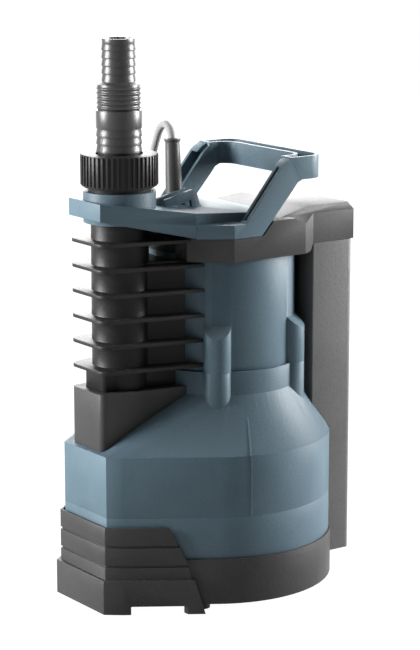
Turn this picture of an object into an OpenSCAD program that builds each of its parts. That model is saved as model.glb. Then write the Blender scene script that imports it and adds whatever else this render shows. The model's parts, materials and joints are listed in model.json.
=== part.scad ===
// Submersible drainage pump with an integral float box, a ribbed riser and a stepped hose adapter.
// The drawing frame has its origin under the middle of the pump, +Z up and the outlet towards -X.

/* [Motor] */
// Outer radius of the motor casing
motor_r = 59; // [56:0.5:62]
// Wall of the motor casing
motor_wall = 4; // [3:0.5:5]
// Height of the motor casing
motor_h = 90; // [86:1:100]
// Radius of the flange ring under the motor casing
ring_r = 61.6; // [61.2:0.2:63]
// Height of the flange ring
ring_h = 18; // [16:1:24]
// Radius of each screw boss
boss_r = 10.5; // [9:0.5:11]
// Distance from the motor axis to each screw boss
boss_offset = 58.5; // [57:0.5:60]
// Angle between the X axis and each screw boss
boss_angle = 53; // [50:1:56]
// Height of the upper boss at the motor wall
boss_top_h = 36; // [30:1:45]

/* [Casings] */
// Radius of the round part of the pump casing
casing_r = 92; // [89:1:96]
// Shift of that round part towards the outlet
casing_shift = 6; // [4:1:8]
// Reach of the casing nose from the motor axis
nose_reach = 126; // [124:1:127]
// Half width of the nose face
nose_hw = 29.5; // [28:0.5:32]
// Wall of the casings
casing_wall = 3; // [2.5:0.25:3.5]
// Height of the strainer base
base_h = 42; // [40:1:48]
// Height of the volute band
band_h = 32.5; // [28:0.5:34]
// Height of the straight wall of the lower casing
wall_h = 47.5; // [44:0.5:54]
// Height of the sloped shoulder
shoulder_h = 39.5; // [36:0.5:44]

/* [Riser] */
// Distance from the motor axis to the riser axis
riser_offset = 92.5; // [91:0.5:94]
// Bore radius of the riser
riser_bore_r = 12.5; // [10:0.5:13]
// Outer radius of the riser column
riser_r = 22; // [20:0.5:22.5]
// Number of cooling fins
fin_count = 6; // [4:1:6]
// Distance between two fins
fin_pitch = 19.4; // [18:0.2:19.6]
// Thickness of a fin
fin_t = 2.6; // [2:0.2:3.4]
// Reach of the fins from the motor axis
fin_reach = 123.5; // [120:0.5:125]
// Height of the riser cover above the shoulder foot
cover_h = 46; // [44:1:47]

/* [Outlet] */
// Outer radius of the union nut
nut_r = 29.4; // [28.5:0.2:30]
// Height of the union nut
nut_h = 25; // [23:1:27]
// Grip ribs on the union nut
nut_ribs = 46; // [36:2:52]
// Radius of the lower hose barb
barb_low_r = 17.3; // [16:0.1:17.4]
// Radius of the upper hose barb
barb_top_r = 12.7; // [11.5:0.1:13]
// Radius over the adapter thread
thread_r = 16.6; // [15:0.1:17]
// Wall of the hose adapter
adapter_wall = 2.8; // [2.2:0.1:3.4]

/* [Handle] */
// Half width of the handle over its arms
handle_hw = 60.9; // [60.5:0.1:62]
// Thickness of an arm
arm_t = 13.8; // [12:0.2:15]
// Wall of the handle moulding
handle_wall = 3; // [2.5:0.25:3.5]
// Rise of the grip above the arm feet
grip_rise = 47; // [44:0.5:56]

/* [Float box] */
// Front face of the float box from the motor axis
box_front = 53; // [52.5:0.1:54]
// Rear face of the float box from the motor axis
box_back = 93; // [91:0.5:98]
// Half width of the float box
box_hw = 51; // [48:0.5:52]
// Wall of the float box
box_wall = 2.5; // [2:0.25:3]
// Height of the box floor above the ground
box_z = 18; // [15:1:22]
// Height of the float
float_h = 40; // [34:1:44]
// Thickness of the float
float_t = 20; // [16:1:21]
// Travel of the float
float_travel = 100; // [60:5:105]

/* [Motor internals] */
// Shaft radius
shaft_r = 6; // [5.5:0.1:6.4]
// Radius of the rotor
rotor_r = 30.5; // [28:0.5:31]
// Outer radius of a bearing
bearing_r = 16; // [15.6:0.1:16.5]
// Width of a bearing
bearing_w = 10; // [8:1:11]
// Radius of the impeller
impeller_r = 41; // [36:0.5:43]
// Vanes of the impeller
vane_count = 6; // [5:1:8]

/* [Cable] */
// Diameter of the cable
cable_d = 6; // [5.5:0.1:6.5]
// Height of the strain relief sleeve
sleeve_h = 50; // [44:1:52]

/* [Hidden] */
$fn = 96;

// Colours of the mouldings
blue = [0.26, 0.33, 0.37];
black = [0.19, 0.19, 0.2];
grey = [0.39, 0.41, 0.42];
steel = [0.7, 0.7, 0.72];

// Clearances
run = 0.05;
gap = 0.3;
eps = 0.01;

// Plan of the base: the foot band stands outside the bumper, which stands outside the skirt
skirt_out = 1.6;
bumper_out = 3.2;
foot_out = 6;
foot_reach = nose_reach + foot_out;
axis_x = (foot_reach - box_back) / 2;
riser_x = -riser_offset;
corner_run = 9.5;
corner_rise = 8.3;
cheek_x = 66;

// Heights of the stacked housings
z_band = base_h;
z_case = z_band + band_h;
z_shoulder = z_case + wall_h;
z_ring = z_shoulder + shoulder_h;
z_motor = z_ring + ring_h;
z_rim = z_motor + motor_h;
z_cap = z_rim - 4;
motor_in = motor_r - motor_wall;
ring_in = ring_r - 3.3;
ring_floor = 8;
bumper_h = 68;

// Suction side
recess_h = 4;
recess_r = 50;
chamber_r = impeller_r + 4;
deck_h = 4;
channel_hw = 14;
inlet_r = 17;
screw_ring_r = 76;
post_r = 6;

// Shaft line
plate_t = 4;
seal_bore_r = 12;
oil_r = 40;
shield_t = 4;
z_shield = z_motor - shield_t;
lower_bearing_z = z_shield - bearing_w;
z_core = z_motor + 11;
core_clear = 36;
core_h = motor_h - core_clear;
z_upper = z_rim - 8;
upper_bearing_z = z_upper - bearing_w - 1;
shaft_z0 = z_band + 0.5;
shaft_z1 = z_upper - 1.5;
race_in_r = shaft_r + 2.7;
race_out_r = bearing_r - 2.7;
ball_r = (race_out_r - race_in_r) / 2 - run;
ball_ring_r = (race_out_r + race_in_r) / 2;

// Riser
cover_z1 = z_shoulder + cover_h;
duct_z0 = cover_z1 - 24;
fin_z0 = cover_z1 + 15.2;
collar_z = z_cap + 53.5;
nut_z = collar_z + 3;
spigot_r = 23.6;
spigot_z1 = nut_z + nut_h - 9;
gasket_t = 2.4;
flange_t = 2.8;
flap_r = 13;
flap_z = collar_z - 1.5;
flap_pivot_x = 14.5;
flap_chamber_r = 17.8;
adapter_z = spigot_z1 + gasket_t;
adapter_z1 = nut_z + 111;
barb_low_z1 = nut_z + 57.5;
thread_z1 = barb_low_z1 + 19.5;

// Handle
foot_z = z_cap + 18;
wing_z1 = foot_z + 10.4;
arm_slope = 0.82;
arm_foot_x = -18.3;
arm_depth = 25.5;
grip_z1 = wing_z1 + grip_rise;
grip_h = 17.5;
grip_back = 57.5;
grip_depth = 15.5;
grip_start = 24;
grip_channel = 9;
cap_z1 = foot_z + 10.4;
plate_rear_x = 18;
nose_top_z = foot_z + 30;
nose_low_z = foot_z + 17;
nose_plate_x = -124;
nose_plate_hw = 21.7;
wing_x0 = -52;
wing_step = 2.5;
wing_y0 = handle_hw - 15.6;
wing_x1 = -29.5;
ear_y = 5;
screw_x = -31;
screw_y = handle_hw - 10.7;
screw_head_h = 2.4;
relief_x = -33;
relief_y = 13.5;
relief_z = foot_z + 16.7;
relief_lean = 5;
relief_turn = 77.6;

// Top cover and float box
lid_z = z_cap + 5.3;
lid_crown = 5;
corner_x = 28;
shell_t = 2.5;
float_x = box_back - box_wall - 2.5 - float_t;
float_hw = box_hw - box_wall - 9;
float_z = box_z + box_wall + gap;
stem_r = 4;
stem_x = float_x + float_t / 2;
clip_z = float_z + float_h + 6 + float_travel + 2;
motor_clear_r = ring_r + 0.9;

// Cable route on the far side of the pump, from the sleeve down to the coil
route = [
  [-12.5, 18, 350.8], [-11.5, 21, 356], [-10.5, 25.5, 359.5], [-9.5, 31, 361], [-8.5, 37, 359.5],
  [-7.5, 43, 354.5], [-6, 49, 347], [-4.5, 56, 336], [-3.5, 63, 321], [-3, 69, 303], [-3, 72, 280],
  [-3, 74, 255], [-3, 76, 230], [-2, 79, 205], [-1, 83, 180], [1, 88, 155], [3, 93, 130],
  [5, 97, 105], [7, 100, 80], [9, 102, 55], [11, 104, 33], [14, 107.5, 16], [18.5, 113.5, 6.5],
  [24, 122, 3.4], [30, 134, 3], [37, 149, 3], [44, 165, 3], [51.6, 181, 3]
];
coil_x = 112;
coil_y = 152;
coil_in_r = 37;
coil_out_r = 70;
coil_h = 32.2;
lead_route = [
  [179, 152, 29], [178, 140.4, 29], [175, 129.1, 28.6], [171.6, 119.7, 26.8], [168.2, 110.3, 24],
  [164.7, 100.9, 21], [161, 90.7, 19]
];
plug_x = 161;
plug_y = 90.7;
plug_turn = -20;
plug_r = 19;

// Moves a drawing made about the motor axis into the part's frame
module at_motor() {
  translate([axis_x, 0, 0])
    children();
}

// A tube or disc about the motor axis
module ring(r, z0, z1, bore = 0) {
  translate([0, 0, z0])
    difference() {
      cylinder(r = r, h = z1 - z0);
      if (bore > 0)
        translate([0, 0, -1])
          cylinder(r = bore, h = z1 - z0 + 2);
    }
}

// The same about the riser axis
module riser_ring(r, z0, z1, bore = 0) {
  translate([riser_x, 0, 0])
    ring(r, z0, z1, bore);
}

// Both sides of the pump are alike
module both_sides() {
  children();
  mirror([0, 1, 0])
    children();
}

// Plan of the casings, g outside the lower casing's wall
module casing_plan(g = 0) {
  r = casing_r + g;
  p1 = [-nose_reach - g, nose_hw + 0.7 * g];
  p2 = [-nose_reach + corner_run - 0.7 * g, nose_hw + corner_rise + 0.8 * g];
  reach = [p2[0] + casing_shift, p2[1]];
  r_in = r - 0.04;
  turn = atan2(reach[1], reach[0]) - acos(r_in / norm(reach));
  touch = [r_in * cos(turn) - casing_shift, r_in * sin(turn)];
  translate([-casing_shift, 0])
    circle(r = r);
  polygon([
    p1, p2, touch, [-casing_shift, 0], [touch[0], -touch[1]], [p2[0], -p2[1]], [p1[0], -p1[1]]
  ]);
}

// Everything behind the cheeks, and the slot that takes the float box
module rear_cut(z0, z1, g = 0) {
  translate([cheek_x + g, -150, z0])
    cube([100, 300, z1 - z0]);
  translate([box_front - gap + g, -box_hw - gap + g, z0])
    cube([100, 2 * (box_hw + gap - g), z1 - z0]);
}

module casing_block(g, z0, z1) {
  difference() {
    translate([0, 0, z0])
      linear_extrude(z1 - z0)
        casing_plan(g);
    rear_cut(z0 - 1, z1 + 1);
  }
}

// A hollow block stays whole in front of the slot
module casing_hollow(g, z0, z1) {
  intersection() {
    translate([0, 0, z0])
      linear_extrude(z1 - z0)
        casing_plan(g);
    translate([-200, -150, z0])
      cube([200 + box_front - gap - casing_wall, 300, z1 - z0]);
  }
}

// The four screw places at the flange
module at_bosses() {
  for (a = [boss_angle, 180 - boss_angle, 180 + boss_angle, 360 - boss_angle])
    rotate([0, 0, a])
      translate([boss_offset, 0, 0])
        children();
}

// The four screw places of the base
module at_posts() {
  for (a = [62, 118, 242, 298])
    translate([screw_ring_r * cos(a) - casing_shift, screw_ring_r * sin(a), 0])
      children();
}

// Plan of a wedge with round nose corners; side walls open at an angle towards the motor
module wedge_plan(reach, hw, corner, angle, x1) {
  cy = hw - 0.8 * corner;
  turn = 90 - angle;
  arc = [for (k = [0 : 6]) [-reach + corner - corner * cos(turn * k / 6), cy + corner * sin(turn * k / 6)]];
  y1 = arc[6][1] + (x1 - arc[6][0]) * tan(angle);
  polygon(concat(
    arc, [[x1, y1], [x1, -y1]], [for (k = [6 : -1 : 0]) [arc[k][0], -arc[k][1]]]
  ));
}

// Sweep of an eight-sided tube along a list of points
function unit(v) = v / norm(v);
function way(p, i) = unit(p[min(i + 1, len(p) - 1)] - p[max(i - 1, 0)]);
function square_to(v, t) = unit(v - (v * t) * t);
function side_of(p, i, first) = i == 0 ? square_to(first, way(p, 0)) : square_to(side_of(p, i - 1, first), way(p, i));
function tube_ring(c, t, u, r, sides) = [
  for (k = [0 : sides - 1]) c + r * (u * cos(360 * k / sides) + cross(t, u) * sin(360 * k / sides))
];

module tube(points, r, first, sides = 8) {
  count = len(points);
  rings = [for (i = [0 : count - 1]) each tube_ring(points[i], way(points, i), side_of(points, i, first), r, sides)];
  start_cap = [[for (k = [sides - 1 : -1 : 0]) k]];
  end_cap = [[for (k = [0 : sides - 1]) (count - 1) * sides + k]];
  walls = [
    for (i = [0 : count - 2], k = [0 : sides - 1])
      [i * sides + k, i * sides + (k + 1) % sides, (i + 1) * sides + (k + 1) % sides, (i + 1) * sides + k]
  ];
  polyhedron(points = rings, faces = concat(start_cap, walls, end_cap));
}

// Base with its skirt, strainer plate and screw posts
module strainer_base() {
  deck_z = base_h - 4;
  floor_z = 12;
  floor_t = 3;
  color(black)
    at_motor() {
      difference() {
        casing_block(skirt_out, 6.5, base_h);
        casing_hollow(skirt_out - casing_wall, 6, deck_z);
        ring(recess_r - 2, deck_z - 1, base_h + 1);
        at_posts()
          translate([0, 0, deck_z - 1])
            cylinder(r = 2.2, h = 10);
        translate([riser_x - 22, -14, deck_z - 1])
          cube([36, 28, 6]);
      }
      difference() {
        casing_hollow(skirt_out - casing_wall + eps, floor_z, floor_z + floor_t);
        for (a = [0 : 15 : 345])
          rotate([0, 0, a])
            translate([14, -1.6, floor_z - 1])
              cube([30, 3.2, floor_t + 2]);
        at_posts()
          translate([0, 0, floor_z - 1])
            cylinder(r = 2.2, h = 10);
      }
      difference() {
        at_posts()
          translate([0, 0, floor_z])
            cylinder(r = post_r, h = base_h - floor_z);
        at_posts()
          translate([0, 0, floor_z - 1])
            cylinder(r = 2.2, h = base_h);
      }
      both_sides() {
        translate([44, 60, 0])
          cylinder(r = 7, h = 13);
        translate([-60, 60, 0])
          cylinder(r = 7, h = 13);
      }
    }
}

// Guard over the nose of the base: three bands, the lowest one stands out as the foot
module nose_bumper() {
  groove_h = 1.6;
  foot_h = 27;
  color(black)
    at_motor()
      intersection() {
        union() {
          bumper_band(bumper_out, foot_h, 36.5);
          bumper_band(bumper_out - 1.1, 36.5, 36.5 + groove_h);
          bumper_band(bumper_out, 36.5 + groove_h, 52);
          bumper_band(bumper_out - 1.1, 52, 52 + groove_h);
          bumper_band(bumper_out, 52 + groove_h, bumper_h);
          difference() {
            bumper_band(foot_out, 0, foot_h);
            translate([-115, -100, -1])
              cube([36, 200, 7.5]);
          }
        }
        rotate([90, 0, 0])
          translate([0, 0, -150])
            linear_extrude(300)
              polygon([[-200, -1], [-67, -1], [-78, base_h], [-89, bumper_h], [-200, bumper_h]]);
      }
}

module bumper_band(g, z0, z1) {
  translate([0, 0, z0])
    linear_extrude(z1 - z0)
      difference() {
        casing_plan(g);
        casing_plan(skirt_out + 0.1);
      }
}

// Screws from below that hold the base on the volute body
module base_screws() {
  color(steel)
    at_motor()
      at_posts() {
        translate([0, 0, 9])
          cylinder(r = 4, h = 3);
        translate([0, 0, 12])
          cylinder(r = 2, h = z_case - deck_h - 14);
      }
}

// Plate with the suction eye that closes the volute chamber from below
module suction_plate() {
  color(black)
    at_motor()
      difference() {
        union() {
          ring(recess_r - run, z_band, z_band + recess_h);
          translate([riser_x - channel_hw - 2, -channel_hw - 2 + run, z_band])
            cube([60, 2 * (channel_hw + 2 - run), recess_h]);
          ring(inlet_r + 3, z_band - 3, z_band);
        }
        ring(inlet_r, z_band - 4, z_band + recess_h + 1);
      }
}

// Outer wall, volute chamber, outlet channel and deck
module volute_body() {
  z1 = z_case;
  color(blue)
    at_motor()
      difference() {
        union() {
          difference() {
            casing_block(0, z_band, z1);
            casing_hollow(-casing_wall, z_band - 1, z1 - deck_h);
          }
          ring(recess_r + casing_wall, z_band, z1 - deck_h + eps);
          translate([riser_x - channel_hw - 5, -channel_hw - 5, z_band])
            cube([riser_offset + channel_hw, 2 * (channel_hw + 5), band_h - deck_h + eps]);
          intersection() {
            at_posts()
              translate([0, 0, z_band])
                cylinder(r = post_r, h = band_h - 1);
            casing_hollow(0, z_band, z1);
          }
        }
        ring(recess_r, z_band - 1, z_band + recess_h);
        ring(chamber_r, z_band, z1 - deck_h);
        ring(seal_bore_r + 2, z_band, z1 + 1);
        translate([riser_x - channel_hw, -channel_hw, z_band])
          cube([riser_offset, 2 * channel_hw, band_h - deck_h]);
        translate([riser_x - channel_hw - 2, -channel_hw - 2, z_band - 1])
          cube([60, 2 * channel_hw + 4, recess_h + 1]);
        riser_ring(riser_bore_r, z1 - deck_h - 1, z1 + 1);
        at_posts()
          translate([0, 0, z_band - 1])
            cylinder(r = 2 + run, h = band_h - deck_h);
      }
}

// Hub, back disc and curved vanes
module impeller() {
  z0 = z_band + recess_h + 1.2;
  z1 = z_case - deck_h - 4.5;
  bend_r = impeller_r * 0.62;
  color(black)
    at_motor()
      difference() {
        union() {
          ring(10, z0 + 3, z1);
          ring(impeller_r, z1 - 3, z1);
          intersection() {
            ring(impeller_r - 1, z0, z1 - 2);
            for (k = [0 : vane_count - 1])
              rotate([0, 0, 360 * k / vane_count])
                translate([bend_r, 0, 0])
                  difference() {
                    ring(bend_r, z0, z1 - 2, bend_r - 2.4);
                    translate([-80, -160, z0 - 1])
                      cube([160, 160, 60]);
                  }
          }
        }
        ring(shaft_r + 0.03, z0 - 1, z1 + 1);
        ring(9.5, z0 - 1, z0 + 3);
      }
}

module impeller_nut() {
  z0 = z_band + recess_h - 1.5;
  color(steel)
    at_motor()
      difference() {
        translate([0, 0, z0])
          cylinder(r = 9, h = 5.6, $fn = 6);
        ring(shaft_r + 0.03, z0 - 1, z0 + 7);
      }
}

// Plate over the volute deck with the hub for the shaft seals
module seal_plate() {
  color(steel)
    at_motor()
      difference() {
        union() {
          ring(oil_r + 6, z_case, z_case + plate_t);
          ring(seal_bore_r + 4, z_case, z_case + 24);
        }
        ring(shaft_r + 0.8, z_case - 1, z_case + 25);
        ring(seal_bore_r + run, z_case - 1, z_case + 3);
        ring(seal_bore_r + run, z_case + 10, z_case + 25);
      }
}

module shaft_seal_seat() {
  color("dimgray")
    at_motor()
      ring(seal_bore_r, z_case - 0.5, z_case + 3, shaft_r + 0.6);
}

module shaft_seal_ring() {
  color("dimgray")
    at_motor()
      ring(seal_bore_r - 1.5, z_case - deck_h - 4.2, z_case - 0.8, shaft_r + 0.03);
}

module lip_seals() {
  color("black")
    at_motor()
      for (z = [z_case + 10, z_case + 16.5])
        ring(seal_bore_r, z, z + 6, shaft_r + run);
}

module oil_chamber() {
  color("silver")
    at_motor()
      ring(oil_r, z_case + plate_t, z_shield, oil_r - 3.5);
}

// Solid between the casing plan at one height and the flange ring at another
module shoulder(g, z0, z1, r) {
  hull() {
    translate([0, 0, z0])
      linear_extrude(0.5)
        casing_plan(g);
    translate([0, 0, z1 - 0.5])
      cylinder(r = r, h = 0.5);
  }
}

// Straight wall, shoulder, flange ring and the lower halves of the bosses
module lower_casing() {
  boss_z = z_ring - 11;
  color(blue)
    at_motor()
      difference() {
        union() {
          casing_block(0, z_case, z_shoulder);
          difference() {
            shoulder(-0.02, z_shoulder - 0.8, z_ring, ring_r - 0.02, $fn = 72);
            rear_cut(z_shoulder - 2, z_ring + 1);
          }
          ring(ring_r, z_ring - 1, z_motor + 2);
          at_bosses()
            translate([0, 0, boss_z])
              cylinder(r = boss_r, h = z_motor + 2 - boss_z);
        }
        ring(ring_r + 20, z_motor, z_motor + 5);
        casing_hollow(-casing_wall, z_case - 1, z_shoulder - 2.5);
        intersection() {
          difference() {
            shoulder(-casing_wall - 0.02, z_shoulder - 3.3, z_ring - 3, ring_in - 0.02, $fn = 72);
            at_bosses()
              translate([0, 0, boss_z])
                cylinder(r = boss_r - 3, h = 60);
          }
          translate([-200, -150, z_shoulder - 3])
            cube([200 + box_front - gap - casing_wall, 300, 100]);
        }
        difference() {
          ring(ring_in, z_ring - 4, z_motor + 1);
          ring(ring_in + 1, z_shield - 4, z_shield, ring_in - 4);
          at_bosses()
            translate([0, 0, boss_z])
              cylinder(r = boss_r - 3, h = 60);
        }
        at_bosses()
          translate([0, 0, boss_z - 20])
            cylinder(r = 2.4 + run, h = 80);
        at_bosses()
          translate([0, 0, boss_z - 30])
            cylinder(r = 5, h = 30);
        riser_ring(15.3, z_case - 1, z_shoulder + 40);
      }
}

// Lower bearing carrier
module motor_shield() {
  hub_z = lower_bearing_z - 3;
  color("silver")
    at_motor()
      difference() {
        union() {
          ring(ring_in - gap, z_shield, z_motor);
          ring(bearing_r + 5, hub_z, z_shield + eps);
        }
        ring(bearing_r + 0.03, lower_bearing_z, z_shield + 1);
        ring(bearing_r - 4, hub_z - 1, z_motor + 1);
        at_bosses()
          translate([0, 0, z_shield - 1])
            cylinder(r = boss_r - 3 + gap, h = shield_t + 2);
      }
}

module motor_shaft() {
  color(steel)
    at_motor()
      ring(shaft_r, shaft_z0, shaft_z1);
}

module rotor_core() {
  color("gray")
    at_motor()
      ring(rotor_r, z_core, z_core + core_h, shaft_r + 0.03);
}

// Laminated ring with twelve slots
module stator_core() {
  color("slategray")
    at_motor()
      difference() {
        ring(motor_in - 0.2, z_core, z_core + core_h, rotor_r + 0.6);
        for (k = [0 : 11])
          rotate([0, 0, 30 * k])
            translate([rotor_r + 5, -4, z_core - 1])
              cube([13, 8, core_h + 2]);
      }
}

// Coil bars in the slots with an end ring at each side
module stator_windings() {
  color("chocolate")
    at_motor() {
      for (z = [z_core - 8, z_core + core_h])
        ring(rotor_r + 18, z, z + 8, rotor_r + 5);
      for (k = [0 : 11])
        rotate([0, 0, 30 * k])
          translate([rotor_r + 5.6, -3.7, z_core - 1])
            cube([11.6, 7.4, core_h + 2]);
    }
}

module bearing_outer_races() {
  color(steel)
    at_motor()
      for (z = [lower_bearing_z, upper_bearing_z])
        ring(bearing_r, z, z + bearing_w, race_out_r);
}

module bearing_inner_races() {
  color(steel)
    at_motor()
      for (z = [lower_bearing_z, upper_bearing_z])
        ring(race_in_r, z, z + bearing_w, shaft_r + 0.03);
}

module bearing_balls() {
  color(steel)
    at_motor()
      for (z = [lower_bearing_z, upper_bearing_z], k = [0 : 7])
        rotate([0, 0, 45 * k])
          translate([ball_ring_r, 0, z + bearing_w / 2])
            sphere(r = ball_r);
}

module casing_seal() {
  color("black")
    at_motor()
      translate([0, 0, z_motor + 1.2])
        rotate_extrude()
          translate([motor_in - 1.25, 0])
            circle(r = 1.2);
}

// Motor casing with the upper halves of the bosses
module motor_casing() {
  color(blue)
    at_motor()
      difference() {
        union() {
          ring(motor_r, z_motor - 2, z_rim);
          at_bosses()
            translate([0, 0, z_motor - 2])
              difference() {
                cylinder(r = boss_r, h = boss_top_h + 2);
                translate([0, -20, boss_top_h + 2])
                  rotate([0, 40, 0])
                    cube([40, 40, 20]);
              }
        }
        ring(motor_r + 20, z_motor - 5, z_motor);
        ring(motor_in, z_motor - 1, z_rim + 1);
        ring(motor_in + 2, z_upper, z_rim + 1);
        at_bosses()
          translate([0, 0, z_motor - 1])
            cylinder(r = 2.4 + run, h = 23);
      }
}

// Screws from inside the lower casing into the motor casing
module casing_screws() {
  head_z = z_ring - 15;
  color(steel)
    at_motor()
      at_bosses() {
        translate([0, 0, head_z])
          cylinder(r = 4.4, h = 4);
        translate([0, 0, head_z + 4])
          cylinder(r = 2.4, h = z_motor + 20 - head_z - 4);
      }
}

module upper_shield() {
  color("silver")
    at_motor()
      difference() {
        union() {
          ring(motor_in + 1.9, z_upper, z_upper + shield_t);
          ring(bearing_r + 4, upper_bearing_z - 1, z_upper + eps);
        }
        ring(bearing_r + 0.03, upper_bearing_z - 2, z_upper - 1);
      }
}

module capacitor() {
  r = 11;
  color("gainsboro")
    at_motor()
      translate([28, -26, z_upper + shield_t + r])
        rotate([-90, 0, 0])
          cylinder(r = r, h = 52);
}

module terminal_block() {
  z0 = z_upper + shield_t;
  color("beige")
    at_motor()
      difference() {
        translate([-12, -17, z0])
          cube([20, 34, 12]);
        for (k = [-2 : 2])
          translate([-2, 6.4 * k, z0 + 4])
            cylinder(r = 1.8, h = 10);
      }
}

// Lower cover of the riser; its foot follows the shoulder
module riser_cover() {
  color(black)
    at_motor()
      difference() {
        translate([0, 0, z_shoulder + 0.6])
          linear_extrude(cover_h - 0.6)
            wedge_plan(nose_reach - 2, 21, 6, 8, -40);
        shoulder(gap, z_shoulder - 0.5, z_ring + gap, ring_r + gap, $fn = 72);
        ring(ring_r + gap, z_ring - 2, z_motor + 40);
        at_bosses()
          translate([0, 0, z_ring - 12])
            cylinder(r = boss_r + gap, h = 80);
        riser_ring(riser_r + gap, z_shoulder - 2, cover_z1 + 1);
        translate([0, 0, z_shoulder - 2])
          linear_extrude(cover_h + 4)
            wedge_plan(fin_reach - 6.3, 14.3, 5, 8, -30);
      }
}

// Column, web and fins beside the motor casing, with the threaded outlet spigot on top
module riser_duct() {
  top_z = collar_z - 4;
  color(black)
    at_motor()
      difference() {
        union() {
          riser_ring(15, z_case, top_z);
          riser_ring(riser_r, duct_z0, top_z);
          riser_ring(spigot_r, collar_z - 5, spigot_z1);
          translate([0, 0, duct_z0])
            linear_extrude(fin_z0 - duct_z0)
              wedge_plan(fin_reach - 6.6, 14, 5, 8, -30);
          translate([0, 0, fin_z0])
            linear_extrude(z_cap - gap - fin_z0)
              wedge_plan(riser_offset + 8, 11, 5, 20, -30);
          for (k = [0 : fin_count - 1])
            translate([0, 0, fin_z0 + fin_pitch * k])
              linear_extrude(fin_t)
                wedge_plan(fin_reach, 23, 8, 12.5, -30);
        }
        ring(ring_r + gap, z_ring - 30, z_motor + gap);
        ring(motor_r + gap, z_motor, z_rim + 100);
        at_bosses()
          translate([0, 0, z_ring - 30])
            cylinder(r = boss_r + gap, h = z_motor + boss_top_h - z_ring + 31);
        shoulder(gap, z_shoulder - 0.5, z_ring + gap, ring_r + gap, $fn = 72);
        translate([0, 0, z_cap - gap])
          linear_extrude(60)
            cover_plan(-gap);
        riser_ring(riser_bore_r, z_case - 1, spigot_z1 + 1);
        riser_ring(flap_chamber_r, flap_z, spigot_z1 + 1);
      }
  color(black)
    at_motor()
      riser_ring(15, z_case, z_shoulder + 40, riser_bore_r);
}

// Two lugs with a fixed pin that carry the check flap
module flap_hinge() {
  color(steel)
    at_motor()
      translate([riser_x + flap_pivot_x, 0, flap_z]) {
        for (s = [-1, 1])
          translate([-1.6, s * 6 - 1, 0])
            cube([3.2, 2, 4]);
        translate([0, 7, 2.6])
          rotate([90, 0, 0])
            cylinder(r = 1, h = 14);
      }
}

// Disc and eye of the non-return flap
module check_flap() {
  t = 2;
  color("darkred")
    at_motor()
      difference() {
        union() {
          translate([riser_x - 1, 0, flap_z + 0.1])
            cylinder(r = flap_r, h = t);
          translate([riser_x + 6, -4, flap_z + 0.1])
            cube([flap_pivot_x - 6, 8, t]);
          translate([riser_x + flap_pivot_x, 4, flap_z + 2.6])
            rotate([90, 0, 0])
              cylinder(r = 2.3, h = 8);
        }
        translate([riser_x + flap_pivot_x, 8, flap_z + 2.6])
          rotate([90, 0, 0])
            cylinder(r = 1 + run, h = 16);
      }
}

module outlet_gasket() {
  color("black")
    at_motor()
      riser_ring(spigot_r - 0.4, spigot_z1, spigot_z1 + gasket_t, flap_chamber_r - 1);
}

// Union nut with grip ribs
module union_nut() {
  lip_z = adapter_z + flange_t + gap;
  rib_r = 1.5;
  color(black)
    at_motor()
      translate([riser_x, 0, 0])
        difference() {
          union() {
            ring(nut_r - 0.9, nut_z + 1, nut_z + nut_h);
            ring(nut_r - 2.4, nut_z, nut_z + 1.01);
            for (k = [0 : nut_ribs - 1])
              rotate([0, 0, 360 * k / nut_ribs])
                translate([nut_r - 1.4, -rib_r / 2, nut_z + 2])
                  cube([1.4, rib_r, nut_h - 2.5]);
          }
          ring(spigot_r + run, nut_z - 1, lip_z);
          ring(barb_low_r + 0.8, nut_z, nut_z + nut_h + 1);
        }
}

// Stepped adapter: flange, lower barbs, thread, upper barbs
module hose_adapter() {
  bore_low = barb_low_r - adapter_wall;
  bore_top = barb_top_r - adapter_wall;
  low_z0 = barb_low_z1 - 30;
  land_h = 1;
  crest_h = 0.6;
  top_z0 = thread_z1 + 2;
  color(black)
    at_motor()
      translate([riser_x, 0, 0])
        difference() {
          union() {
            ring(spigot_r - 0.4, adapter_z, adapter_z + flange_t);
            ring(barb_low_r - 1.3, adapter_z, low_z0 + 10);
            for (k = [0 : 2])
              translate([0, 0, low_z0 + 5.9 * k - 1])
                cylinder(r1 = barb_low_r, r2 = barb_low_r - 0.9, h = 5.91);
            ring(barb_low_r - 0.1, low_z0 + 16.7, barb_low_z1);
            ring(thread_r - 0.8, barb_low_z1 - 1, thread_z1);
            for (k = [0 : 4])
              translate([0, 0, barb_low_z1 + 0.6 + 3.6 * k]) {
                cylinder(r1 = thread_r - 0.8, r2 = thread_r, h = 1.31);
                translate([0, 0, 1.3])
                  cylinder(r = thread_r, h = crest_h);
                translate([0, 0, 1.3 + crest_h - eps])
                  cylinder(r1 = thread_r, r2 = thread_r - 0.8, h = 1.31);
              }
            translate([0, 0, thread_z1 - eps])
              cylinder(r1 = thread_r - 0.8, r2 = barb_top_r, h = 2.02);
            for (k = [0 : 4])
              translate([0, 0, top_z0 + 5.8 * k]) {
                cylinder(r = barb_top_r, h = land_h);
                translate([0, 0, land_h - eps])
                  cylinder(r1 = barb_top_r, r2 = barb_top_r - 0.8, h = 5.82 - land_h);
              }
            ring(barb_top_r - 0.5, top_z0 + 28, adapter_z1);
          }
          ring(bore_low, adapter_z - 1, barb_low_z1 - 4);
          ring(bore_top, barb_low_z1 - 5, adapter_z1 + 1);
        }
}

// Plan of the handle plate, inset by d
module plate_plan(d = 0) {
  side = wing_y0 - wing_step;
  polygon([
    [nose_plate_x + d, nose_plate_hw - 0.8 * d], [wing_x0, side - d], [-3, wing_y0 + 1.8 - d],
    [plate_rear_x - d, wing_y0 - 6 - d], [plate_rear_x - d, 6 - wing_y0 + d], [-3, d - 1.8 - wing_y0],
    [wing_x0, d - side], [nose_plate_x + d, 0.8 * d - nose_plate_hw]
  ]);
}

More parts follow.
